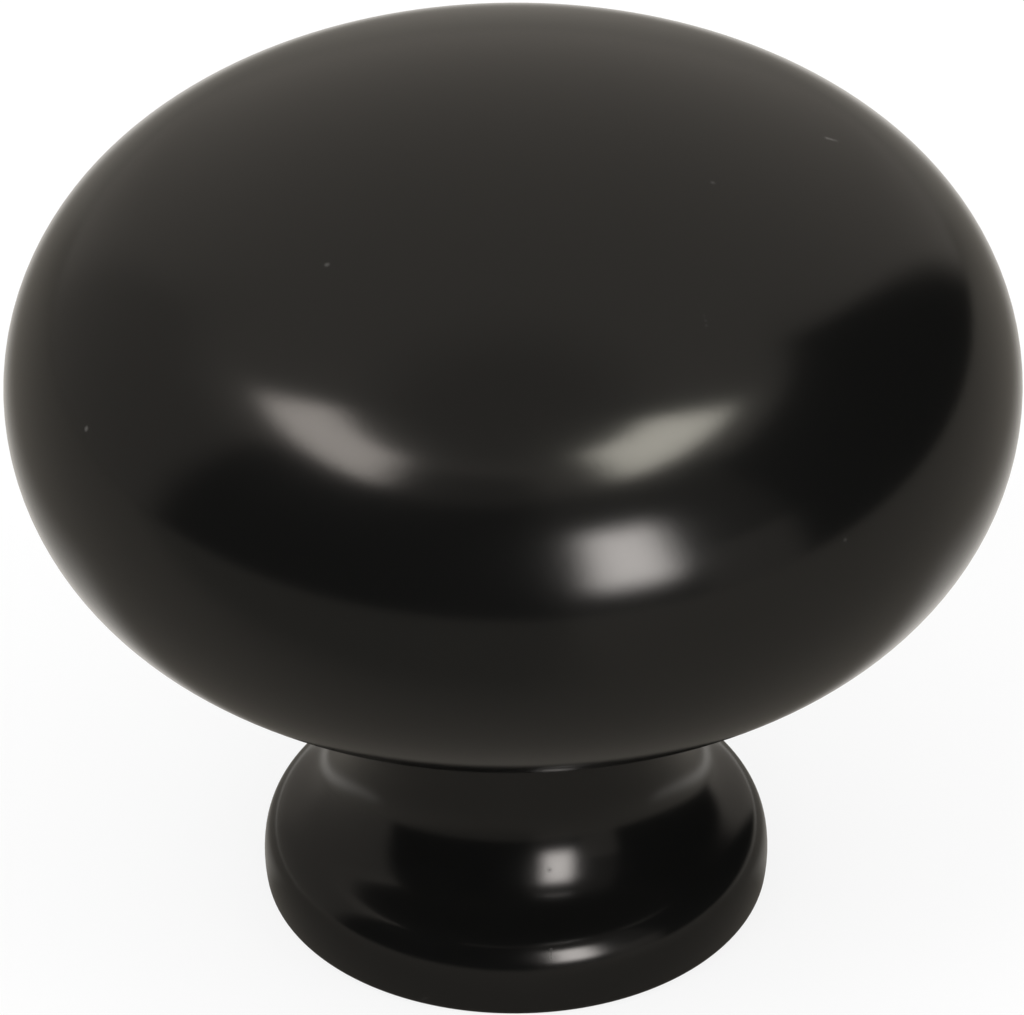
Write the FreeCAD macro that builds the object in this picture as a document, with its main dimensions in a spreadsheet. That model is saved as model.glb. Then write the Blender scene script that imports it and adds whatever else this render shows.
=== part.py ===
import FreeCAD, Part
import math
import os
import Sketcher

# A one-piece cabinet knob: a mushroom head on a short neck with a flared foot.
# It stands on its foot: Z is the knob's axis, and Z = 0 is the seat that meets the drawer front.
# All lengths are in millimetres and all angles in degrees.

# The driving sizes, each with what it measures on the knob
SIZES = [
    ("head_diameter", 32.0, "across the widest ring of the head"),
    ("side_radius", 6.93, "roundness of the head's side, in section"),
    ("side_turn", 104.0, "how far the side arc turns, from the lip to the shoulder"),
    ("shoulder_radius", 8.7, "roundness between the side and the crown"),
    ("crown_radius", 27.5, "the nearly flat dome on top"),
    ("lip_radius", 3.0, "the tighter round under the head's edge"),
    ("lip_turn", 22.0, "how far the lip arc turns"),
    ("underside_slope", 6.0, "slope of the head's underside, falling towards the neck"),
    ("upper_cove_radius", 2.0, "hollow round between the underside and the neck"),
    ("swell_radius", 17.0, "slow hollow round above the waist, where the neck widens towards the head"),
    ("swell_turn", 15.1, "how far the swell arc turns"),
    ("waist_diameter", 10.16, "the neck at its narrowest"),
    ("flare_radius", 3.92, "hollow round below the waist"),
    ("flare_turn", 36.0, "how far the flare arc turns"),
    ("lower_cove_radius", 3.25, "hollow round between the flare and the foot's ledge"),
    ("ledge_width", 0.6, "the straight slope on top of the foot"),
    ("foot_diameter", 16.1, "across the widest ring of the foot"),
    ("foot_rise", 0.82, "height of the foot's widest ring above the seat"),
    ("flank_radius", 4.07, "the slight bow of the foot's side"),
    ("flank_rise", 0.75, "height of the bowed side above its widest ring"),
    ("flank_drop", 0.68, "height of the bowed side below its widest ring"),
    ("foot_top_radius", 1.4, "round over the foot's upper edge"),
    ("foot_bottom_radius", 0.25, "small round under the foot's lower edge"),
    ("rim_width", 1.3, "width of the flat ring that sits on the drawer front"),
    ("recess_depth", 0.8, "depth of the ring-shaped recess inside the rim"),
    ("boss_diameter", 7.0, "the boss around the screw hole, level with the rim"),
    ("hole_diameter", 3.45, "tapping size for a screw of 4.17 mm with 32 threads to the inch"),
    ("hole_depth", 12.0, "length of the hole that a screw can use"),
    ("mouth_diameter", 4.7, "countersink at the mouth of the hole"),
]

doc = FreeCAD.newDocument("cabinet_knob")
sheet = doc.addObject("Spreadsheet::Sheet", "Sizes")
for row, (name, value, meaning) in enumerate(SIZES, start=1):
    sheet.set("A%d" % row, name)
    sheet.set("B%d" % row, str(value))
    sheet.set("C%d" % row, meaning)
    sheet.setAlias("B%d" % row, name)
doc.recompute()
size = {name: float(sheet.get(name)) for name, value, meaning in SIZES}

# References that every sketch has: its origin point, its upright axis, and an arc's centre
ORIGIN = (-1, 1)
UPRIGHT = -2
CENTRE = 3


def facing(angle):
    """The way a surface faces: 0 is straight out from the axis, 90 is up, -90 is down."""
    return FreeCAD.Vector(math.cos(math.radians(angle)), math.sin(math.radians(angle)), 0)


class Chain:
    """Lines and arcs of a section, each drawn from where the last one ended."""

    def __init__(self, sketch, start):
        self.sketch = sketch
        self.point = start
        self.ends = {}

    def line(self, end):
        index = self.sketch.addGeometry(Part.LineSegment(self.point, end), False)
        self.ends[index] = (1, 2)
        self.point = end
        return index

    def arc(self, radius, centre, low, high, ends):
        circle = Part.Circle(centre, FreeCAD.Vector(0, 0, 1), radius)
        shape = Part.ArcOfCircle(circle, math.radians(low), math.radians(high))
        index = self.sketch.addGeometry(shape, False)
        self.ends[index] = ends
        return index

    def bulge(self, radius, low, high):
        """An arc that swells outwards and faces from low to high as it rises."""
        centre = self.point - facing(low) * radius
        self.point = centre + facing(high) * radius
        return self.arc(radius, centre, low, high, (1, 2))

    def hollow(self, radius, high, low):
        """An arc that curves inwards and faces from high to low as it rises."""
        centre = self.point + facing(high) * radius
        self.point = centre - facing(low) * radius
        return self.arc(radius, centre, low + 180, high + 180, (2, 1))

    def join(self, kind, lower, upper):
        """Ties the upper end of one piece to the lower end of another."""
        lower_end = self.ends[lower][1]
        upper_end = self.ends[upper][0]
        self.sketch.addConstraint(Sketcher.Constraint(kind, lower, lower_end, upper, upper_end))


def bind(sketch, kind, references, formula):
    """A dimension of a sketch that follows a formula of the sheet's sizes."""
    value = float(sketch.evalExpression(formula))
    if kind == "Angle":
        value = math.radians(value)
    name = "dimension_%d" % sketch.ConstraintCount
    index = sketch.addConstraint(Sketcher.Constraint(kind, *references, value))
    sketch.renameConstraint(index, name)
    sketch.setExpression("Constraints." + name, formula)


def new_sketch(body, name, role):
    """A sketch on one of the body's own origin planes."""
    sketch = body.newObject("Sketcher::SketchObject", name)
    plane = [feature for feature in body.Origin.OriginFeatures if feature.Role == role][0]
    sketch.AttachmentSupport = [(plane, "")]
    sketch.MapMode = "FlatFace"
    return sketch


def arc_angle(cosine):
    return math.degrees(math.acos(cosine))


def draw_section(sketch):
    """The knob's outline on one side of its axis, from the seat up to the crown."""
    foot_radius = size["foot_diameter"] / 2
    waist_radius = size["waist_diameter"] / 2
    head_radius = size["head_diameter"] / 2

    # The foot: how its bowed side faces where it meets the rounds below and above it
    flank_low = math.degrees(math.asin(size["flank_drop"] / size["flank_radius"]))
    flank_high = math.degrees(math.asin(size["flank_rise"] / size["flank_radius"]))
    low_corner = foot_radius - size["flank_radius"] * (1 - facing(flank_low).x)
    high_corner = foot_radius - size["flank_radius"] * (1 - facing(flank_high).x)
    seat_edge = math.degrees(math.asin(
        (size["foot_rise"] - size["flank_drop"]) / size["foot_bottom_radius"]
        + facing(flank_low).y))
    seat_radius = low_corner - size["foot_bottom_radius"] * (
        facing(flank_low).x - facing(seat_edge).x)

    # The ledge: the steepest facing, on the straight slope between the foot's edge and the neck
    rounds = size["foot_top_radius"] + size["lower_cove_radius"]
    reach = (waist_radius - high_corner
             + size["flare_radius"] * (1 - facing(size["flare_turn"]).x)
             + size["lower_cove_radius"] * facing(size["flare_turn"]).x
             + size["foot_top_radius"] * facing(flank_high).x)
    ledge = (arc_angle(reach / math.hypot(rounds, size["ledge_width"]))
             - math.degrees(math.atan2(size["ledge_width"], rounds)))

    # The head: the facings where its arcs meet, and where the underside runs out to the lip
    underside = size["underside_slope"] - 90
    lip_end = underside + size["lip_turn"]
    side_end = lip_end + size["side_turn"]
    lip_start = (head_radius - size["side_radius"]
                 + (size["side_radius"] - size["lip_radius"]) * facing(lip_end).x
                 + size["lip_radius"] * facing(underside).x)
    crown_edge = arc_angle(
        (head_radius - size["side_radius"]
         + (size["side_radius"] - size["shoulder_radius"]) * facing(side_end).x)
        / (size["crown_radius"] - size["shoulder_radius"]))

    chain = Chain(sketch, FreeCAD.Vector(0, 0, 0))
    seat = chain.line(FreeCAD.Vector(seat_radius, 0, 0))
    foot_bottom = chain.bulge(size["foot_bottom_radius"], -seat_edge, -flank_low)
    flank = chain.bulge(size["flank_radius"], -flank_low, flank_high)
    foot_top = chain.bulge(size["foot_top_radius"], flank_high, ledge)
    slope = chain.line(chain.point + facing(ledge + 90) * size["ledge_width"])
    lower_cove = chain.hollow(size["lower_cove_radius"], ledge, size["flare_turn"])
    flare = chain.hollow(size["flare_radius"], size["flare_turn"], 0)
    swell = chain.hollow(size["swell_radius"], 0, -size["swell_turn"])
    upper_cove = chain.hollow(size["upper_cove_radius"], -size["swell_turn"], underside)
    underside_run = lip_start - chain.point.x
    underside_rise = underside_run * math.tan(math.radians(size["underside_slope"]))
    under_head = chain.line(chain.point + FreeCAD.Vector(underside_run, underside_rise, 0))
    lip = chain.bulge(size["lip_radius"], underside, lip_end)
    side = chain.bulge(size["side_radius"], lip_end, side_end)
    shoulder = chain.bulge(size["shoulder_radius"], side_end, crown_edge)
    crown = chain.bulge(size["crown_radius"], crown_edge, 90)
    axis = chain.line(FreeCAD.Vector(0, 0, 0))

    # Corners at the seat and on the axis, and smooth joints everywhere between them
    sketch.addConstraint(Sketcher.Constraint("Coincident", seat, 1, *ORIGIN))
    sketch.addConstraint(Sketcher.Constraint("Horizontal", seat))
    chain.join("Coincident", seat, foot_bottom)
    outline = [foot_bottom, flank, foot_top, slope, lower_cove, flare, swell, upper_cove,
               under_head, lip, side, shoulder, crown]
    for lower, upper in zip(outline, outline[1:]):
        chain.join("Tangent", lower, upper)
    sketch.addConstraint(Sketcher.Constraint("PointOnObject", crown, 2, UPRIGHT))
    sketch.addConstraint(Sketcher.Constraint("PointOnObject", crown, CENTRE, UPRIGHT))
    chain.join("Coincident", crown, axis)
    sketch.addConstraint(Sketcher.Constraint("Coincident", axis, 2, *ORIGIN))

    # Radii
    radii = [(foot_bottom, "foot_bottom_radius"), (flank, "flank_radius"),
             (foot_top, "foot_top_radius"), (lower_cove, "lower_cove_radius"),
             (flare, "flare_radius"), (swell, "swell_radius"),
             (upper_cove, "upper_cove_radius"), (lip, "lip_radius"), (side, "side_radius"),
             (shoulder, "shoulder_radius"), (crown, "crown_radius")]
    for arc, alias in radii:
        bind(sketch, "Radius", (arc,), "Sizes." + alias)

    # How far the arcs turn, and the slope under the head
    bind(sketch, "Angle", (flare,), "Sizes.flare_turn")
    bind(sketch, "Angle", (swell,), "Sizes.swell_turn")
    bind(sketch, "Angle", (lip,), "Sizes.lip_turn")
    bind(sketch, "Angle", (side,), "Sizes.side_turn")
    bind(sketch, "Angle", (under_head,), "Sizes.underside_slope")

    # Widths across the foot, the waist and the head, and the heights that stack up.
    # The waist is level with the swell's centre, so the skin faces straight out there.
    bind(sketch, "DistanceX", (*ORIGIN, flank, CENTRE), "Sizes.foot_diameter / 2 - Sizes.flank_radius")
    bind(sketch, "DistanceX", (*ORIGIN, swell, 2), "Sizes.waist_diameter / 2")
    sketch.addConstraint(Sketcher.Constraint("Horizontal", swell, 2, swell, CENTRE))
    bind(sketch, "DistanceX", (*ORIGIN, side, CENTRE), "Sizes.head_diameter / 2 - Sizes.side_radius")
    bind(sketch, "DistanceY", (*ORIGIN, flank, CENTRE), "Sizes.foot_rise")
    bind(sketch, "DistanceY", (flank, 1, flank, CENTRE), "Sizes.flank_drop")
    bind(sketch, "DistanceY", (flank, CENTRE, flank, 2), "Sizes.flank_rise")
    bind(sketch, "Distance", (slope,), "Sizes.ledge_width")

    # A dimension that only measures: how far out the seat reaches
    seat_reach = sketch.addConstraint(
        Sketcher.Constraint("DistanceX", seat, 1, seat, 2, seat_radius))
    sketch.renameConstraint(seat_reach, "seat_reach")
    sketch.setDriving(seat_reach, False)


# The knob: its turned form
knob = doc.addObject("PartDesign::Body", "knob")
knob.Label = "knob"
section = new_sketch(knob, "Section", "XZ_Plane")
draw_section(section)
doc.recompute()

turned = knob.newObject("PartDesign::Revolution", "TurnedForm")
turned.Profile = section
turned.ReferenceAxis = (section, ["V_Axis"])
turned.Angle = 360
doc.recompute()
solid_volume = knob.Shape.Volume

# The recess in the seat: a shallow ring between the rim and the boss
ring = new_sketch(knob, "RecessRing", "XY_Plane")
for reach, formula in (
        (size["boss_diameter"] / 2, "Sizes.boss_diameter / 2"),
        (size["foot_diameter"] / 2, "Section.Constraints.seat_reach / 1 mm - Sizes.rim_width")):
    circle = Part.Circle(FreeCAD.Vector(0, 0, 0), FreeCAD.Vector(0, 0, 1), reach)
    edge = ring.addGeometry(circle, False)
    ring.addConstraint(Sketcher.Constraint("Coincident", edge, CENTRE, *ORIGIN))
    bind(ring, "Radius", (edge,), formula)
doc.recompute()

recess = knob.newObject("PartDesign::Pocket", "Recess")
recess.Profile = ring
recess.Type = "Length"
recess.setExpression("Length", "Sizes.recess_depth")
recess.Reversed = True
doc.recompute()
recessed_volume = knob.Shape.Volume

# The blind hole for the screw, at tapping size, with its mouth countersunk
centre = new_sketch(knob, "HoleCentre", "XY_Plane")
circle = Part.Circle(FreeCAD.Vector(0, 0, 0), FreeCAD.Vector(0, 0, 1), size["hole_diameter"] / 2)
edge = centre.addGeometry(circle, False)
centre.addConstraint(Sketcher.Constraint("Coincident", edge, CENTRE, *ORIGIN))
bind(centre, "Radius", (edge,), "Sizes.hole_diameter / 2")
doc.recompute()

hole = knob.newObject("PartDesign::Hole", "ScrewHole")
hole.Profile = centre
hole.Reversed = True
hole.DepthType = "Dimension"
hole.setExpression("Diameter", "Sizes.hole_diameter")
hole.setExpression("Depth", "Sizes.hole_depth")
hole.DrillPoint = "Angled"
hole.DrillPointAngle = 118
hole.HoleCutType = "Countersink"
hole.HoleCutCountersinkAngle = 90
hole.setExpression("HoleCutDiameter", "Sizes.mouth_diameter")
doc.recompute()
drilled_volume = knob.Shape.Volume
knob.Placement = FreeCAD.Placement(FreeCAD.Vector(0, 0, 0), FreeCAD.Rotation())
doc.recompute()

# Checks before anything is written
for thing in doc.Objects:
    if "Invalid" in thing.State or "Error" in thing.State:
        raise RuntimeError("failed: " + thing.Name)
for sketch in (section, ring, centre):
    if not sketch.FullyConstrained:
        raise RuntimeError("loose sketch: " + sketch.Name)
if not drilled_volume < recessed_volume < solid_volume:
    raise RuntimeError("a cut took nothing away")
if knob.Shape.isNull() or not knob.Shape.isValid():
    raise RuntimeError("the knob is not a sound solid")

box = knob.Shape.optimalBoundingBox(False, False)
print("head across %.3f, projection %.3f" % (box.XLength, box.ZLength))
print("volume %.1f cubic millimetres" % knob.Shape.Volume)

os.makedirs("parts", exist_ok=True)
knob.Shape.exportStep("parts/knob.step")
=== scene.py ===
# %% [markdown]
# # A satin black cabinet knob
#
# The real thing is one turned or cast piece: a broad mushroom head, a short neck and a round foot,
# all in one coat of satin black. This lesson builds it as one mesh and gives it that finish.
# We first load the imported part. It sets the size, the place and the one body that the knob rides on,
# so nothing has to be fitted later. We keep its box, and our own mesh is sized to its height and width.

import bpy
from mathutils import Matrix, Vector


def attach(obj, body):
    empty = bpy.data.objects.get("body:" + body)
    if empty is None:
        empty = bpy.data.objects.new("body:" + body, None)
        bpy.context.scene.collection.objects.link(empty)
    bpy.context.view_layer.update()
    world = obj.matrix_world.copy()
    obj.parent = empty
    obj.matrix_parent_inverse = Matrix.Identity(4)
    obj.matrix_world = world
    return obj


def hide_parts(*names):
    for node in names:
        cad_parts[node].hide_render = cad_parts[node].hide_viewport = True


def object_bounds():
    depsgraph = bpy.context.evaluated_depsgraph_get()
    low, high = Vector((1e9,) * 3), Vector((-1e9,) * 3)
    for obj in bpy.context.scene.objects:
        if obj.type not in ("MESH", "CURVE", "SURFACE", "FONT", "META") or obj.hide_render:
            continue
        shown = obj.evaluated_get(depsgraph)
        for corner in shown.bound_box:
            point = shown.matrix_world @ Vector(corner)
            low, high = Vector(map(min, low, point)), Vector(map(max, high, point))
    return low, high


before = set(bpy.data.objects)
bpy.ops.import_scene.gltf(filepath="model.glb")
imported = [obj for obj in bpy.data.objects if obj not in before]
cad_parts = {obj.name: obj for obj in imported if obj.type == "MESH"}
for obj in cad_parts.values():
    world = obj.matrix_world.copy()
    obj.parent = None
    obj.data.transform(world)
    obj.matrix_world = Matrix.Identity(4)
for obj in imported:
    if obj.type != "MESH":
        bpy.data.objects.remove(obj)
part_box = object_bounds()
print("packed part:", [round(float(v), 5) for corner in part_box for v in corner])

# %% [markdown]
# ## The knob's outline
#
# A turned piece is drawn by its outline: half of its section, from the seat up to the middle of the
# crown. The turner leaves rounds that run smoothly into each other, so the outline here is a list of
# runs. Each run is a bulge, a hollow or a straight, and ends where the skin faces a given way:
# 0 is straight out from the axis, 90 is up and -90 is down. We could join true arcs, but a satin
# coat shows every place where the roundness jumps. So it eases from one run to the next.

# %% The outline's runs, in millimetres and degrees
import math

import bpy
import numpy as np
from mathutils import Matrix

MM = 0.001

SEAT_EDGE = (7.918, 0.0)
SEAT_EDGE_FACING = -46.65
OUTSIDE = [
    ("foot bottom", "bulge", 0.25, -9.6),
    ("flank", "bulge", 4.07, 10.6),
    ("foot top", "bulge", 1.4, 59.36),
    ("ledge", "straight", 0.6, 59.36),
    ("lower cove", "hollow", 3.25, 36.0),
    ("flare", "hollow", 3.92, 0.0),
    ("swell", "hollow", 17.0, -15.1),
    ("upper cove", "hollow", 2.0, -84.0),
    ("under the head", "straight", 3.861, -84.0),
    ("lip", "bulge", 3.0, -62.0),
    ("side", "bulge", 6.93, 42.0),
    ("shoulder", "bulge", 8.7, 65.64),
    ("crown", "bulge", 27.5, 90.0),
]


def lengths_and_roundness(outline, facing):
    """Each run's length and its roundness, which is how fast the skin's facing turns along it."""
    runs = []
    for name, kind, size, end in outline:
        if kind == "straight":
            runs.append((size, 0.0))
        else:
            turn = math.radians(end - facing)
            runs.append((size * abs(turn), turn / (size * abs(turn))))
        facing = end
    return runs


print(len(OUTSIDE), "runs from the seat to the crown:", ", ".join(name for name, *rest in OUTSIDE))

# %% [markdown]
# ## Walking up the outline
#
# To turn the runs into points, we walk up them in short strides. At each joint the roundness changes
# evenly over half a millimetre on either side, or less where a run is short. The facing at a stride
# is the sum of the roundness up to there, and the facing says which way the next stride goes.

# %% Follow the runs from the seat to the crown
EASE = 0.5
EASE_SHARE = 0.45
STRIDE = 0.01


def walk_up(runs, start, facing):
    """Follows the runs and gives, at each stride, the skin's facing, its radius and its height."""
    total = sum(length for length, roundness in runs)
    along = np.linspace(0, total, int(total / STRIDE) + 1)
    facings = math.radians(facing) + runs[0][1] * along
    joint = 0.0
    for (length, roundness), (next_length, next_roundness) in zip(runs, runs[1:]):
        joint += length
        half = min(EASE, EASE_SHARE * length, EASE_SHARE * next_length)
        inside = np.clip(along - joint + half, 0, 2 * half)
        beyond = np.maximum(along - joint - half, 0)
        facings += (next_roundness - roundness) * (inside ** 2 / (4 * half) + beyond)
    middle = (facings[1:] + facings[:-1]) / 2
    radius = start[0] - np.concatenate([[0], np.cumsum(np.sin(middle) * np.diff(along))])
    height = start[1] + np.concatenate([[0], np.cumsum(np.cos(middle) * np.diff(along))])
    return along, facings, radius, height


along, facings, outline_radius, outline_height = walk_up(
    lengths_and_roundness(OUTSIDE, SEAT_EDGE_FACING), SEAT_EDGE, SEAT_EDGE_FACING)
print("outline ends", round(outline_radius[-1], 3), "from the axis at height",
      round(outline_height[-1], 3), "and is", round(2 * outline_radius.max(), 3), "across")

# %% [markdown]
# ## Rings where the skin turns
#
# A mesh of a turned piece is a stack of rings. Evenly spaced rings would waste faces on the flat
# crown and starve the small rounds of the foot. So rings are spread by how far the skin has turned,
# with a little added for plain length. The walk misses the axis by a hair, and that slip is spread
# over the upper rings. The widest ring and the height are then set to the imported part's own box.

# %% Spread the rings of the outside
RING_TURN = math.radians(1.6)
RING_LENGTH = 0.42
SLIP_BEND = 4


def spread_rings():
    """Picks rings of the outline so that none turns or reaches further than the limits above."""
    turned = np.concatenate([[0], np.cumsum(np.abs(np.diff(facings)))])
    weight = turned / RING_TURN + along / RING_LENGTH
    picks = np.interp(np.linspace(0, weight[-1], int(weight[-1]) + 2), weight, along)
    return np.interp(picks, along, outline_radius), np.interp(picks, along, outline_height)


ring_radius, ring_height = spread_rings()
slip = ring_radius[-1]
ring_radius = ring_radius - slip * np.linspace(0, 1, len(ring_radius)) ** SLIP_BEND
part_height = (part_box[1].z - part_box[0].z) / MM
part_reach = min(-part_box[0].x, -part_box[0].y, part_box[1].x, part_box[1].y) / MM
ring_height = ring_height * (part_height / ring_height[-1])
ring_radius = ring_radius * (part_reach / ring_radius.max())
print(len(ring_radius), "rings outside, closed by", round(float(slip), 4), "mm")

# %% [markdown]
# ## The underside
#
# The knob is held by a screw from behind the drawer front. Its seat is a narrow rim and a boss, with
# a shallow recess between them, so that it sits flat without rocking. The hole is drilled to a
# pointed end and tapped: a V thread with 32 turns to the inch. A modifier could screw a profile
# round, but the thread has to run out at both ends and stay one closed skin with the rest. So the
# rings of the hole's wall are pushed outwards by a wave that climbs as it goes round.

# %% The underside's corners, from the hole's tip out to the seat
HOLE_RADIUS = 1.725
MOUTH_RADIUS = 2.35
HOLE_DEPTH = 12.0
DRILL_POINT = math.radians(59)
BOSS_RADIUS = 3.5
RIM_WIDTH = 1.3
RECESS_RADIUS = SEAT_EDGE[0] - RIM_WIDTH
RECESS_DEPTH = 0.8
CORNER_ROUND = 0.12
CORNER_STEPS = 3

THREAD_BOTTOM = MOUTH_RADIUS - HOLE_RADIUS


def rounded(corners):
    """A line through corners, each cut back and rounded off with a few points."""
    line = [corners[0]]
    for before, corner, after in zip(corners, corners[1:], corners[2:]):
        before, corner, after = (np.array(point, float) for point in (before, corner, after))
        start = corner + (before - corner) * CORNER_ROUND / np.linalg.norm(before - corner)
        end = corner + (after - corner) * CORNER_ROUND / np.linalg.norm(after - corner)
        for t in np.linspace(0, 1, CORNER_STEPS + 1):
            line.append(tuple((1 - t) ** 2 * start + 2 * t * (1 - t) * corner + t ** 2 * end))
    line.append(corners[-1])
    return line


seat = rounded([
    (HOLE_RADIUS, THREAD_BOTTOM),
    (MOUTH_RADIUS, 0.0),
    (BOSS_RADIUS, 0.0),
    (BOSS_RADIUS, RECESS_DEPTH),
    (RECESS_RADIUS, RECESS_DEPTH),
    (RECESS_RADIUS, 0.0),
    (SEAT_EDGE[0], 0.0),
])
print(len(seat), "points across the seat, from the hole's mouth to", SEAT_EDGE[0], "mm out")

# %% [markdown]
# ## The threaded hole
#
# The wall of the hole takes seven rings for each turn of the thread, which is enough for a crisp V.
# A wave says how deep the thread is cut at each height. It grows over one turn at the mouth, as a
# tap's first cut does, and fades over two turns near the end of the hole.

# %% The rings of the hole, and the wave that the thread follows
PITCH = 25.4 / 32
RINGS_A_TURN = 7
TIP_RING = 0.2


def thread_wave(z):
    """How deep the thread is cut at a height: it runs in at the mouth and out near the end."""
    return float(np.clip(min((z - THREAD_BOTTOM) / PITCH, (HOLE_DEPTH - z) / (2 * PITCH)), 0, 1))


tip_height = HOLE_DEPTH + HOLE_RADIUS / math.tan(DRILL_POINT)
hole = [(0.0, tip_height), (TIP_RING, tip_height - TIP_RING / math.tan(DRILL_POINT))]
hole += [(HOLE_RADIUS, float(z))
         for z in np.arange(HOLE_DEPTH, THREAD_BOTTOM, -PITCH / RINGS_A_TURN)]
print(len(hole), "rings in the hole, which ends", round(tip_height, 2), "mm above the seat")

# %% [markdown]
# ## One closed skin
#
# All the rings go into one mesh, from the tip of the hole, out over the seat and up to the crown.
# Each ring has the same number of points, so a strip of four-sided faces joins each ring to the next,
# and a fan closes each end on the axis. The part's node `knob` is then replaced by this mesh.

# %% Turn the rings into the knob
SECTORS = 160
THREAD_DEPTH = 0.36


def turned_mesh(name, rings, waves):
    """One mesh from (radius, height) rings. A ring with a wave is pushed out as a thread climbs."""
    turn = np.linspace(0, 2 * math.pi, SECTORS, endpoint=False)
    points = [(0.0, 0.0, rings[0][1])]
    for (out, up), wave in zip(rings[1:-1], waves[1:-1]):
        crest = np.abs((up / PITCH - turn / (2 * math.pi)) % 1 * 2 - 1)
        reach = out + wave * THREAD_DEPTH * crest
        points += list(zip(reach * np.sin(turn), -reach * np.cos(turn), [up] * SECTORS))
    points.append((0.0, 0.0, rings[-1][1]))
    sides = [(j, (j + 1) % SECTORS) for j in range(SECTORS)]
    skin = []
    for ring in range(len(rings) - 3):
        low = 1 + ring * SECTORS
        high = low + SECTORS
        skin += [(low + a, low + b, high + b, high + a) for a, b in sides]
    top = len(points) - 1
    last = top - SECTORS
    skin += [(0, 1 + b, 1 + a) for a, b in sides]
    skin += [(last + a, last + b, top) for a, b in sides]
    mesh = bpy.data.meshes.new(name)
    mesh.from_pydata([(x * MM, y * MM, z * MM) for x, y, z in points], [], skin)
    mesh.shade_smooth()
    return mesh


outside = list(zip(ring_radius[1:].tolist(), ring_height[1:].tolist()))
outside[-1] = (0.0, outside[-1][1])
rings = hole + seat + outside
waves = [thread_wave(up) if out == HOLE_RADIUS else 0.0 for out, up in rings]
knob = bpy.data.objects.new("turned_knob", turned_mesh("turned_knob", rings, waves))
bpy.context.scene.collection.objects.link(knob)
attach(knob, "root")
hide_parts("knob")
print(len(rings), "rings,", 2 * SECTORS * (len(rings) - 2), "triangles")

# %% [markdown]
# ## Writing shader maths as plain sums
#
# A finish is a graph of nodes. Wiring it by hand is long and hard to read, so one small class wraps
# a node's output. Adding or multiplying two of them adds the Math node that does it, and 1 - mask
# works too. Every other node comes from one method, which takes the node's type, its settings and
# what its sockets hold.

# %% A value in a shader, and the finish that it belongs to
class Value:
    """One output of a node, on which sums can be written."""

    def __init__(self, finish, socket):
        self.finish = finish
        self.socket = socket

    def maths(self, operation, *terms):
        return self.finish.node("ShaderNodeMath", {"operation": operation}, dict(enumerate(terms)))

    def __add__(self, other):
        return self.maths("ADD", self, other)

    def __sub__(self, other):
        return self.maths("SUBTRACT", self, other)

    def __rsub__(self, other):
        return self.maths("SUBTRACT", other, self)

    def __mul__(self, other):
        return self.maths("MULTIPLY", self, other)

    __radd__ = __add__
    __rmul__ = __mul__


class Finish:
    """A material that is built one node at a time."""

    def __init__(self, name):
        self.material = bpy.data.materials.new(name)
        self.material.use_nodes = True
        self.tree = self.material.node_tree
        self.tree.nodes.clear()

    def node(self, kind, settings=None, sockets=None, output=0):
        """Adds a node, sets it up, fills or links its sockets and gives back one of its outputs."""
        node = self.tree.nodes.new(kind)
        for name, value in (settings or {}).items():
            setattr(node, name, value)
        for name, value in (sockets or {}).items():
            if isinstance(value, Value):
                self.tree.links.new(value.socket, node.inputs[name])
            else:
                node.inputs[name].default_value = value
        return Value(self, node.outputs[output])

    def ramp(self, value, start, end):
        """0 up to start, 1 from end on, and a soft step between them."""
        return self.node("ShaderNodeMapRange", {"interpolation_type": "SMOOTHSTEP"}, {
            "Value": value, "From Min": start, "From Max": end})

    def blend(self, amount, colour, other):
        """A mix of two colours: the first where the amount is 0, the other where it is 1."""
        return self.node("ShaderNodeMix", {"data_type": "RGBA"}, {
            "Factor": amount, 6: colour, 7: other}, output=2)

    def close(self, surface):
        """Makes this shader the material's surface."""
        end = self.tree.nodes.new("ShaderNodeOutputMaterial")
        self.tree.links.new(surface.socket, end.inputs["Surface"])
        return self.material


# %% [markdown]
# ## Specks of dust and small marks
#
# The knob has a few specks of dust, a short scratch and a faint one on the top of its head, a pale
# nick low on its foot, and a mark in the cove and on the foot's edge. Each is a small round spot in
# the shader, and a scratch is a short row of spots that run together. Dust is pale and dull, so it
# shows in the black. A mark is only dull, so it shows as a dark dot in a bright reflection. An image
# could carry them, but spots placed on the skin need no unwrapping and stay sharp from close up.
# Each spot's place is its turn from the front, in degrees, and its way up the outline from the seat.

# %% The spots: turn from the front, way up the outline, radius, strength
DUST = [
    (-47.6, 39.09, 0.14, 0.35),
    (-61.0, 30.16, 0.14, 0.45),
    (77.8, 40.49, 0.13, 0.2),
    (40.6, 28.85, 0.12, 0.12),
]
SHORT_SCRATCH = [
    (106.8, 36.36, 0.13, 0.45),
    (106.7, 36.25, 0.13, 0.4),
    (106.6, 36.16, 0.12, 0.35),
    (106.5, 36.05, 0.12, 0.25),
]
FAINT_SCRATCH = [
    (38.8, 37.33, 0.08, 0.06),
    (38.3, 37.15, 0.08, 0.1),
    (37.7, 36.98, 0.08, 0.1),
]
FOOT_NICK = [
    (-21.9, 0.25, 0.08, 0.08),
    (-21.4, 0.32, 0.08, 0.08),
    (-20.8, 0.36, 0.08, 0.08),
]
DULL_MARKS = [
    (10.7, 4.96, 0.14, 0.3),
    (8.2, 2.38, 0.07, 0.5),
    (8.1, 2.29, 0.07, 0.5),
    (8.0, 2.19, 0.07, 0.5),
    (8.0, 2.10, 0.07, 0.5),
]
PALE_SPOTS = DUST + SHORT_SCRATCH + FAINT_SCRATCH + FOOT_NICK


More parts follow.
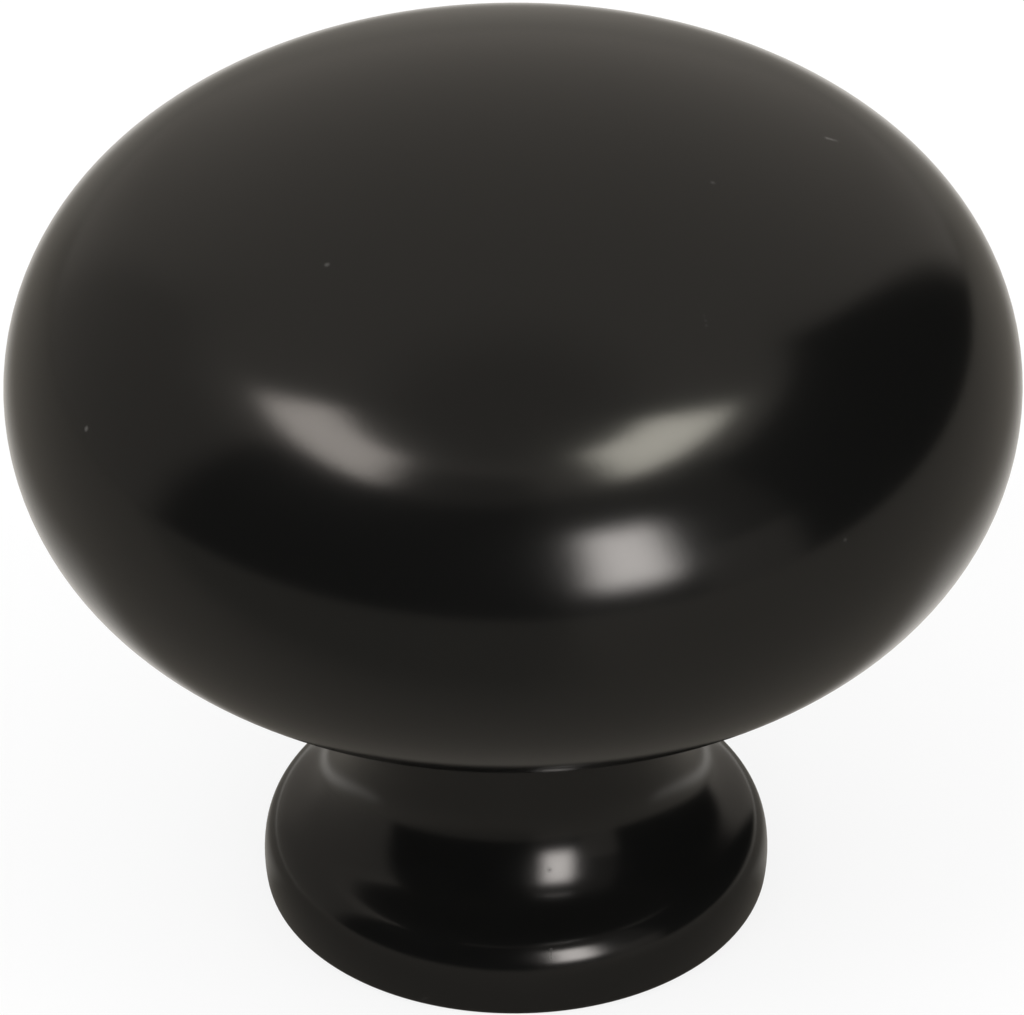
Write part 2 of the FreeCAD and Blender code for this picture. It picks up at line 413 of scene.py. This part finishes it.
def on_skin(turn, way_up):
    """The point on the outline at this way up, turned round from the front."""
    out = float(np.interp(way_up, along, outline_radius)) * MM
    up = float(np.interp(way_up, along, outline_height)) * MM
    return (out * math.sin(math.radians(turn)), -out * math.cos(math.radians(turn)), up)


def spots(finish, place, marks):
    """A mask that is strongest in the middle of each mark and 0 elsewhere."""
    mask = 0.0
    for turn, way_up, size, strength in marks:
        away = finish.node("ShaderNodeVectorMath", {"operation": "DISTANCE"}, {
            0: place, 1: on_skin(turn, way_up)}, output="Value")
        mask = mask + strength * finish.ramp(away, size * MM, 0.0)
    return mask


print(len(PALE_SPOTS), "pale spots and", len(DULL_MARKS), "dull marks")

# %% [markdown]
# ## The satin black coat
#
# The coat is baked enamel: a very dark, plain black with an even satin gloss. It is not
# perfectly flat. It has a soft orange peel left by the spray and a little unevenness in its gloss.
# The gloss comes from the shader and the lights, so the material only says how rough the coat is.

# %% The coat's colour, gloss and skin
BLACK = (0.0038, 0.0038, 0.0036, 1.0)
WARM_BLACK = (0.0047, 0.0046, 0.0043, 1.0)
DUST_GREY = (0.13, 0.125, 0.12, 1.0)
ROUGHNESS = 0.15
UNEVENNESS = 0.02
DULLNESS = 0.4
CLOUD_SCALE = 160.0
PEEL_SCALE = 900.0
GRAIN_SCALE = 5200.0
PEEL_SHARE = 0.75
PEEL_STRENGTH = 0.1
PEEL_HEIGHT = 0.02 * MM


def satin_black_coat():
    coat = Finish("satin_black_coat")
    place = coat.node("ShaderNodeTexCoord", output="Object")
    cloud = coat.node("ShaderNodeTexNoise", sockets={
        "Vector": place, "Scale": CLOUD_SCALE, "Detail": 3.0})
    grain = coat.node("ShaderNodeTexNoise", sockets={
        "Vector": place, "Scale": GRAIN_SCALE, "Detail": 2.0})
    peel = coat.node("ShaderNodeTexNoise", sockets={
        "Vector": place, "Scale": PEEL_SCALE, "Detail": 2.0})
    dust = spots(coat, place, PALE_SPOTS)
    colour = coat.blend(dust, coat.blend(cloud, BLACK, WARM_BLACK), DUST_GREY)
    gloss = (ROUGHNESS + UNEVENNESS * cloud + UNEVENNESS * grain
             + DULLNESS * spots(coat, place, DULL_MARKS))
    skin = coat.node("ShaderNodeBump", sockets={
        "Strength": PEEL_STRENGTH, "Distance": PEEL_HEIGHT,
        "Height": PEEL_SHARE * peel + (1 - PEEL_SHARE) * grain})
    return coat.close(coat.node("ShaderNodeBsdfPrincipled", sockets={
        "Base Color": colour, "Roughness": gloss, "Normal": skin, "IOR": 1.5}))


knob.data.materials.append(satin_black_coat())
print("coat:", len(knob.data.materials[0].node_tree.nodes), "nodes")

# %% [markdown]
# ## Floor, backdrop and light
#
# A black satin piece is drawn by what it reflects. In a product photograph that is a white tent, two
# soft boxes above it, a small lamp in front, and black cards that keep the front dark. The floor and
# the world are white, and the floor keeps a soft shadow. The boxes and cards that shape the
# reflections are seen only by glossy rays, so they don't change how bright the scene is.

# %% The floor and the white surroundings
WHITE = (1.0, 1.0, 1.0, 1.0)
PAPER = (0.93, 0.93, 0.93, 1.0)
PLAIN_SHARE = 0.8
FLOOR_REACH = 6.0
FLOOR_HEIGHT = -0.02 * MM

scene = bpy.context.scene
scene.view_settings.view_transform = "Standard"


def seen_plainly(finish):
    """1 for rays from the camera and for reflected or refracted ones, and 0 for light."""
    camera = finish.node("ShaderNodeLightPath", output="Is Camera Ray")
    glossy = finish.node("ShaderNodeLightPath", output="Is Glossy Ray")
    clear = finish.node("ShaderNodeLightPath", output="Is Transmission Ray")
    return camera + glossy + clear


def studio_floor():
    floor = Finish("studio_floor")
    paper = floor.node("ShaderNodeBsdfDiffuse", sockets={"Color": PAPER})
    plain = floor.node("ShaderNodeEmission", sockets={"Color": WHITE, "Strength": 1.0})
    return floor.close(floor.node("ShaderNodeMixShader", sockets={
        "Fac": PLAIN_SHARE * seen_plainly(floor), 1: paper, 2: plain}))


def on_stage(name, mesh):
    """Puts a mesh into the scene on its own, apart from the knob."""
    thing = bpy.data.objects.new(name, mesh)
    scene.collection.objects.link(thing)
    return thing


def floor_sheet(name, height, finish):
    """A flat square sheet that lies level at a height."""
    mesh = bpy.data.meshes.new(name)
    corners = [(-1, -1), (1, -1), (1, 1), (-1, 1)]
    mesh.from_pydata([(x * FLOOR_REACH, y * FLOOR_REACH, height) for x, y in corners], [],
                     [(0, 1, 2, 3)])
    mesh.materials.append(finish)
    return on_stage(name, mesh)


floor_sheet("studio_floor", FLOOR_HEIGHT, studio_floor())

world = bpy.data.worlds.new("white_tent")
world.use_nodes = True
world.node_tree.nodes["Background"].inputs["Color"].default_value = WHITE
world.node_tree.nodes["Background"].inputs["Strength"].default_value = 1.0
scene.world = world
print("floor:", 2 * FLOOR_REACH, "m wide, under a white world")

# %% [markdown]
# ## Cards that show only in reflections
#
# A lamp in Blender could light the coat, but its edge would be hard and its light would fall on the
# floor too. A card is a plain mesh that glows, and we switch it off for every ray but the reflected
# ones. Real cards and boxes have no hard edge in a satin coat, so a card fades out along its border,
# half of it inside the card's corners and half outside. The fade is worked out for each point of the
# mesh, and the finish reads it back.

# %% The glow of a card, and how it fades
PLAIN_LIGHT = (1.0, 1.0, 1.0)


def only_reflected(thing):
    """Keeps a thing out of everything but reflections."""
    thing.visible_camera = False
    thing.visible_diffuse = False
    thing.visible_transmission = False
    thing.visible_shadow = False


def fade(share, border):
    """1 inside and 0 outside, with a soft step across each border."""
    if border == 0:
        return 1.0
    step = min(max((min(share, 1 - share) + border / 2) / border, 0.0), 1.0)
    return step * step * (3 - 2 * step)


def card_finish(name, glow, tint):
    """An even glow that gives way to nothing where the card's fade runs out."""
    finish = Finish(name)
    solid = finish.node("ShaderNodeAttribute", {"attribute_name": "fade"}, output="Fac")
    nothing = finish.node("ShaderNodeBsdfTransparent")
    glowing = finish.node("ShaderNodeEmission", sockets={"Color": (*tint, 1.0), "Strength": glow})
    return finish.close(finish.node("ShaderNodeMixShader", sockets={
        "Fac": solid, 1: nothing, 2: glowing}))


print("a border of 0.2 fades:", [round(fade(share, 0.2), 2) for share in (-0.1, -0.05, 0.0, 0.05, 0.1)])

# %% [markdown]
# ## Bending a card round the knob
#
# Each card is a patch of a large ball round the knob, given by the directions of its four corners:
# how far round it stands from the front, and how high above the floor's level. That is how we read
# it from the photograph too: a mirrored edge tells the direction that it comes from, but not how far
# away it is. Where cards overlap, the nearer one hides the other.

# %% A curved card between four directions
BALL_RADIUS = 1.0
BALL_CENTRE = 0.015
CARD_STEPS = 32


def between(first, second, share):
    """A direction part of the way from one to another, each given as (round, up)."""
    return [a + (b - a) * share for a, b in zip(first, second)]


def card(name, corners, glow, tint=PLAIN_LIGHT, borders=(0.1, 0.1), nearness=1.0):
    """A curved card between four (round, up) directions, from its low left corner round."""
    low_left, low_right, high_right, high_left = corners
    reach = BALL_RADIUS * nearness
    points = []
    fades = []
    for i in range(CARD_STEPS + 1):
        across = i / CARD_STEPS * (1 + borders[0]) - borders[0] / 2
        low = between(low_left, low_right, across)
        high = between(high_left, high_right, across)
        for j in range(CARD_STEPS + 1):
            upward = j / CARD_STEPS * (1 + borders[1]) - borders[1] / 2
            turn, lift = (math.radians(angle) for angle in between(low, high, upward))
            points.append((reach * math.sin(turn) * math.cos(lift),
                           -reach * math.cos(turn) * math.cos(lift),
                           reach * math.sin(lift) + BALL_CENTRE))
            fades.append(fade(across, borders[0]) * fade(upward, borders[1]))
    row = CARD_STEPS + 1
    squares = [(i * row + j, (i + 1) * row + j, (i + 1) * row + j + 1, i * row + j + 1)
               for i in range(CARD_STEPS) for j in range(CARD_STEPS)]
    mesh = bpy.data.meshes.new(name)
    mesh.from_pydata(points, [], squares)
    mesh.attributes.new("fade", "FLOAT", "POINT").data.foreach_set("value", fades)
    mesh.materials.append(card_finish(name, glow, tint))
    only_reflected(on_stage(name, mesh))
    print(name, "glows", glow, "and stands", reach, "m away")


# %% [markdown]
# ## Lighting the coat
#
# The lamp in front draws the bright spot on the head, and the two long boxes above draw the slanted
# patches on its shoulder. The black cards keep the rest of the front dark. A small one stands close by.
# From there it hides the left box from the foot, while the head sees it against the large black card.

# %% Stand the lamp, the boxes and the black cards round the knob
card("front_lamp", [(17, 11.5), (34.5, 11.5), (34.5, 39.5), (17, 39.5)],
     11.2, (1.0, 0.95, 0.91), (0.6, 0.4), 0.92)
card("left_soft_box", [(-104, 55), (-44, 55), (-50, 67.5), (-104, 67.5)],
     6.5, (1.0, 0.92, 0.85), (0.25, 0.3), 0.94)
card("right_soft_box", [(38, 60), (96, 60), (92, 73), (40, 73)],
     8.8, (1.0, 0.96, 0.84), (0.3, 0.3), 0.94)
card("left_black_card", [(-82, -4), (10, -4), (8, 56), (-82, 50)], 0.0, borders=(0.1, 0.08))
card("right_black_card", [(64, -4), (142, -4), (131, 52), (64, 52)], 0.0, borders=(0.06, 0.08))
card("near_black_card", [(-70, 40), (-30, 40), (-30, 52.5), (-70, 52.5)], 0.0,
     borders=(0.2, 0.2), nearness=0.1)

# %% [markdown]
# ## The grey of the tent
#
# Seen from the knob, the white tent is a middle grey, because the camera is set for a black piece.
# It is dimmer straight above, and between the boxes and the black cards hang pieces of grey cloth.

# %% Hang the grey cloths and the tent
WARM_GREY = (1.0, 0.92, 0.82)

card("low_grey_cloth", [(41, -4), (66, -4), (66, 20), (41, 20)], 0.3, WARM_GREY, nearness=1.02)
card("dark_cloth", [(4, -4), (68, -4), (68, 58), (4, 58)], 0.12, WARM_GREY, nearness=1.04)
card("left_grey_cloth", [(-50, 49), (10, 52), (8, 67), (-34, 67)], 0.16, WARM_GREY, nearness=1.06)
card("left_side_cloth", [(-140, -4), (-78, -4), (-78, 45), (-140, 45)],
     0.31, WARM_GREY, (0.2, 0.3), 1.08)
card("dim_roof", [(-180, 72), (180, 72), (180, 100), (-180, 100)], 0.26, WARM_GREY, (0.0, 0.5), 1.4)
card("grey_tent", [(-180, -1), (180, -1), (180, 90), (-180, 90)], 0.43, WARM_GREY, (0.0, 0.0), 1.6)

# %% [markdown]
# ## The table in the reflections
#
# The table under the knob is grey too. Behind the knob, light is painted on it as a glow on both
# sides, which gives the head its bright thin rim, and a painted shadow of the knob lies between. A
# faint wedge of painted light runs back from there. Light is also painted where the foot's sides meet
# the table, and in front the table is painted darker, as a painted reflection of the black card.
# Each of these is a soft step over the table's own coordinates, in metres from the axis, or over how
# far the reflected ray came: a ray from the foot is a short one. An even grey sheet would be simpler,
# but it would leave the head without its bright edge.

# %% Where light and shade are painted on the table, in metres
# How strongly light is painted on the table beside and behind the knob.
PAINTED_PATCH_STRENGTH = 0.9
PATCH_SLANT = 0.3
BESIDE_BEGINS = (0.006, 0.016)
BESIDE_ENDS = (0.040, 0.015)
BEHIND_BEGINS = (-0.003, 0.005)
BEHIND_ENDS = (0.11, 0.05)
SEEN_FROM_HEAD = (0.017, 0.0225)
# How strongly a faint wedge of light is painted on the table behind the knob.
PAINTED_WEDGE_STRENGTH = 0.1
WEDGE_SLANT = 0.6
WEDGE_EDGE = (-0.02, 0.02)
# How strongly light is painted on the table where the foot's sides meet it.
PAINTED_FOOT_GLOW_STRENGTH = 0.26
SEEN_FROM_FOOT = (0.0055, 0.002)
FOOT_SIDES = (-0.0015, 0.0005)
FRONT_SLANT = 0.2
FRONT_BEGINS = (-0.018, -0.045)
FRONT_LEFT = (0.01, -0.01)
PALE_CLOTH = (0.25, 0.23, 0.20, 1.0)
# The darker front of the table: a painted reflection of the black card.
PAINTED_CARD_REFLECTION = (0.155, 0.145, 0.125, 1.0)
# The colour of the light painted on the table.
PAINTED_TABLE_LIGHT = (1.0, 0.96, 0.90, 1.0)
TABLE_HEIGHT = -0.01 * MM


def reflected_table():
    table = Finish("reflected_table")
    place = table.node("ShaderNodeTexCoord", output="Object")
    across = table.node("ShaderNodeSeparateXYZ", sockets={"Vector": place}, output="X")
    back = table.node("ShaderNodeSeparateXYZ", sockets={"Vector": place}, output="Y")
    side = table.node("ShaderNodeMath", {"operation": "ABSOLUTE"}, {0: across})
    reach = table.node("ShaderNodeLightPath", output="Ray Length")
    # Painted light: the table glows beside and behind the knob. Between the sides the glow is left out
    # as a painted shadow of the knob, and the short rays from the foot find no glow, which is painted
    # shade.
    beside = table.ramp(side + PATCH_SLANT * back, *BESIDE_BEGINS) * table.ramp(side, *BESIDE_ENDS)
    behind = table.ramp(back, *BEHIND_BEGINS) * table.ramp(back, *BEHIND_ENDS)
    painted_light_patch = PAINTED_PATCH_STRENGTH * beside * behind * table.ramp(reach, *SEEN_FROM_HEAD)
    # Painted light: a faint glowing wedge on the table behind the knob.
    painted_light_wedge = PAINTED_WEDGE_STRENGTH * table.ramp(WEDGE_SLANT * back - side, *WEDGE_EDGE)
    # Painted light: a faint glow behind the foot's sides, seen only by the short rays from the foot.
    painted_foot_glow = (PAINTED_FOOT_GLOW_STRENGTH * table.ramp(reach, *SEEN_FROM_FOOT)
               * table.ramp(back, *FOOT_SIDES))
    # Painted reflection: the table is darker in front and to the left, as the black card mirrored in
    # it.
    front = (table.ramp(back, *FRONT_BEGINS)
             * table.ramp(across + FRONT_SLANT * back, *FRONT_LEFT))
    # The grey cloth of the table, painted darker in front as a reflection of the black card.
    cloth = table.node("ShaderNodeBsdfDiffuse", sockets={
        "Color": table.blend(front, PALE_CLOTH, PAINTED_CARD_REFLECTION)})
    # Painted light: the glow that the table's painted patch, wedge and foot glow mix in.
    bright = table.node("ShaderNodeEmission", sockets={"Color": PAINTED_TABLE_LIGHT, "Strength": 1.0})
    return table.close(table.node("ShaderNodeMixShader", sockets={
        "Fac": painted_light_patch + painted_light_wedge + painted_foot_glow, 1: cloth, 2: bright}))


only_reflected(floor_sheet("reflected_table", TABLE_HEIGHT, reflected_table()))
print("table: bright from", BESIDE_BEGINS[1], "to", BESIDE_ENDS[0], "m beside the knob's axis")

# %% [markdown]
# ## Lamps that light the floor
#
# Two plain lamps and the white world light the scene at a level at which a colour renders about as it
# is written. They are left out of reflections, because the cards above stand for them there.

# %% Two soft lamps
LAMP_WIDTH = 0.35


def soft_lamp(name, place, watts):
    """A square lamp at a place, turned to face the knob."""
    lamp = bpy.data.lights.new(name, "AREA")
    lamp.energy = watts
    lamp.size = LAMP_WIDTH
    holder = bpy.data.objects.new(name, lamp)
    scene.collection.objects.link(holder)
    holder.location = place
    holder.rotation_mode = "QUATERNION"
    holder.rotation_quaternion = (-holder.location).to_track_quat("-Z", "Y")
    holder.visible_glossy = False
    print(name, "gives", watts, "W from", round(holder.location.length, 2), "m away")


soft_lamp("left_lamp", (-0.35, -0.25, 0.5), 1.2)
soft_lamp("right_lamp", (0.4, -0.2, 0.5), 0.9)

# %% [markdown]
# ## The camera
#
# The knob is photographed from the front and well above, through a long lens from half a metre away,
# and turned a very little. The small shift puts it where the photograph has it.

# %% Place the camera
CAMERA_LIFT = math.radians(35.006)
CAMERA_ROLL = math.radians(-0.382)
CAMERA_DISTANCE = 0.5
NEAREST_SEEN = 0.05
FURTHEST_SEEN = 20.0
SENSOR_WIDTH = 36.0
LENS = 557.03
AIM_HEIGHT = 0.014
PICTURE = (1024, 1015)
AIM_PIXEL = (513.826, 507.805)

camera_data = bpy.data.cameras.new("camera")
camera = bpy.data.objects.new("camera", camera_data)
scene.collection.objects.link(camera)
camera_data.sensor_width = SENSOR_WIDTH
camera_data.lens = LENS
camera_data.clip_start = NEAREST_SEEN
camera_data.clip_end = FURTHEST_SEEN
camera_data.shift_x = (PICTURE[0] / 2 - AIM_PIXEL[0]) / PICTURE[0]
camera_data.shift_y = (AIM_PIXEL[1] - PICTURE[1] / 2) / PICTURE[0]
camera.location = (0.0, -CAMERA_DISTANCE * math.cos(CAMERA_LIFT),
                   AIM_HEIGHT + CAMERA_DISTANCE * math.sin(CAMERA_LIFT))
tilt = Matrix.Rotation(math.pi / 2 - CAMERA_LIFT, 3, "X")
camera.rotation_euler = (tilt @ Matrix.Rotation(CAMERA_ROLL, 3, "Z")).to_euler()
scene.camera = camera
print("camera", round(math.degrees(CAMERA_LIFT), 2), "degrees up")
